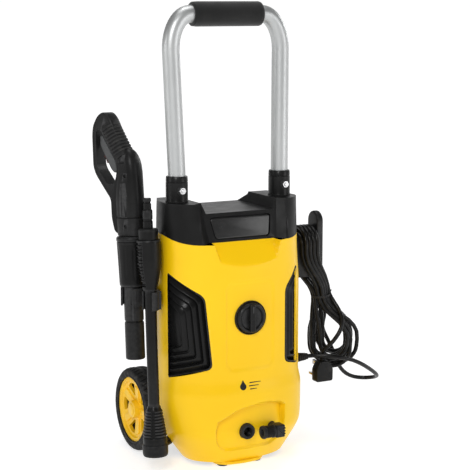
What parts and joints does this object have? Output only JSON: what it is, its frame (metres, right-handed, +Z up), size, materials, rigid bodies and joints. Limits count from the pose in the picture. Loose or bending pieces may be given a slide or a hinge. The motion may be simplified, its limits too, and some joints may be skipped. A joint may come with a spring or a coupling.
{
  "type": "pressure washer",
  "caption": "Upright electric pressure washer: yellow and black shell on wheels, U handle, clipped trigger gun and lance, wound mains lead on a side hook.",
  "frame": {"origin": "centre of the footprint of everything but the lead, at floor level", "axes": "+Z up, +X to the right seen from the front, +Y to the back; the front face with the switch looks along -Y"},
  "size_m": [0.5064, 0.2778, 0.7417],
  "materials": {
    "yellow_plastic": "satin",
    "black_plastic": "fine texture",
    "black_trim": "satin",
    "red_plastic": "satin",
    "soft_rubber": "matt",
    "foam_grip": "foam",
    "tyre_rubber": "matt",
    "handle_silver": "satin",
    "plated_steel": "plated",
    "pump_aluminium": "cast",
    "motor_iron": "laminated",
    "cord_jacket": "satin"
  },
  "bodies": {
    "washer": {"front_shell": "yellow_plastic", "front_foot": "yellow_plastic", "rear_shell": "black_plastic", "grille_left": "black_plastic", "grille_right": "black_plastic", "top_cover": "black_plastic", "base_plate": "black_plastic", "accessory_clip": "black_plastic", "lance_cup": "black_plastic", "cord_hook": "black_plastic", "collar_left": "black_plastic", "collar_right": "black_plastic", "top_panel": "black_trim", "switch_bezel": "black_trim", "switch_body": "black_plastic", "outlet_port": "black_trim", "inlet_spigot": "black_trim", "inlet_hose": "soft_rubber", "pump_mount": "soft_rubber", "foot_pad_left": "soft_rubber", "foot_pad_right": "soft_rubber", "strain_relief": "soft_rubber", "cord_tie": "soft_rubber", "handle_grip": "foam_grip", "handle_tube": "handle_silver", "handle_bolt_left": "plated_steel", "handle_bolt_right": "plated_steel", "axle": "plated_steel", "outlet_pipe": "plated_steel", "pump_head": "pump_aluminium", "pump_housing": "pump_aluminium", "motor_stator": "motor_iron", "cord_hank": "cord_jacket", "cord_free": "cord_jacket", "cord_tail": "cord_jacket", "mains_plug": "cord_jacket"},
    "wheel_left": {"tyre_left": "tyre_rubber", "hub_left": "yellow_plastic", "axle_cap_left": "black_trim"},
    "wheel_right": {"tyre_right": "tyre_rubber", "hub_right": "yellow_plastic", "axle_cap_right": "black_trim"},
    "switch_knob": {"switch_knob": "black_trim"},
    "inlet_swivel": {"inlet_elbow": "black_trim"},
    "inlet_nut": {"inlet_collar": "black_trim"},
    "gun": {"gun_body": "black_plastic", "gun_grip_pad": "soft_rubber", "gun_sleeve": "black_plastic", "gun_barrel": "black_plastic"},
    "trigger": {"gun_trigger": "black_trim"},
    "trigger_lock": {"trigger_lock": "red_plastic"},
    "lance": {"lance_grip": "black_plastic", "lance_tube": "black_trim"},
    "nozzle": {"lance_nozzle": "soft_rubber"},
    "motor_shaft": {"motor_rotor": "motor_iron", "cooling_fan": "black_plastic", "wobble_plate": "plated_steel"},
    "piston_a": {"piston_1": "plated_steel"},
    "piston_b": {"piston_2": "plated_steel"},
    "piston_c": {"piston_3": "plated_steel"}
  },
  "joints": [
    {"name": "wheel_left_spin", "type": "hinge", "parent": "washer", "child": "wheel_left", "pos_m": [-0.1065, 0.0698, 0.0695], "axis": [1, 0, 0], "continuous": true},
    {"name": "wheel_right_spin", "type": "hinge", "parent": "washer", "child": "wheel_right", "pos_m": [0.1115, 0.0698, 0.0695], "axis": [1, 0, 0], "continuous": true},
    {"name": "switch_turn", "type": "hinge", "parent": "washer", "child": "switch_knob", "pos_m": [0.0025, -0.1142, 0.248], "axis": [0, -1, 0], "range_deg": [0, 90]},
    {"name": "inlet_swivel_turn", "type": "hinge", "parent": "washer", "child": "inlet_swivel", "pos_m": [0.0465, -0.1272, 0.062], "axis": [0, -1, 0], "range_deg": [0, 90]},
    {"name": "inlet_nut_spin", "type": "hinge", "parent": "inlet_swivel", "child": "inlet_nut", "pos_m": [0.0265, -0.1277, 0.062], "axis": [-1, 0, 0], "continuous": true},
    {"name": "gun_lift", "type": "slide", "parent": "washer", "child": "gun", "axis": [0, 0.0576, 0.9983], "range_m": [0, 0.12]},
    {"name": "trigger_squeeze", "type": "hinge", "parent": "gun", "child": "trigger", "pos_m": [-0.1585, 0.03312, 0.47756], "axis": [0.866, 0.4992, -0.0288], "range_deg": [0, 8], "stiffness_Nm_per_rad": 0.6},
    {"name": "trigger_lock_turn", "type": "hinge", "parent": "trigger", "child": "trigger_lock", "pos_m": [-0.1693, 0.05301, 0.49745], "axis": [0.866, 0.4992, -0.0288], "range_deg": [0, 35]},
    {"name": "lance_lift", "type": "slide", "parent": "washer", "child": "lance", "axis": [0, 0.0576, 0.9983], "range_m": [0, 0.1]},
    {"name": "nozzle_twist", "type": "hinge", "parent": "lance", "child": "nozzle", "pos_m": [-0.1395, -0.0477, 0.23], "axis": [0, 0.0576, 0.9983], "range_deg": [0, 90]},
    {"name": "motor_spin", "type": "hinge", "parent": "washer", "child": "motor_shaft", "pos_m": [0.0025, -0.0122, 0.175], "axis": [0, 0, 1], "continuous": true},
    {"name": "piston_a_stroke", "type": "slide", "parent": "washer", "child": "piston_a", "axis": [0, 0, 1], "range_m": [0, 0.0045], "stiffness_N_per_m": 300},
    {"name": "piston_b_stroke", "type": "slide", "parent": "washer", "child": "piston_b", "axis": [0, 0, 1], "range_m": [0, 0.0045], "stiffness_N_per_m": 300},
    {"name": "piston_c_stroke", "type": "slide", "parent": "washer", "child": "piston_c", "axis": [0, 0, 1], "range_m": [0, 0.0045], "stiffness_N_per_m": 300}
  ]
}
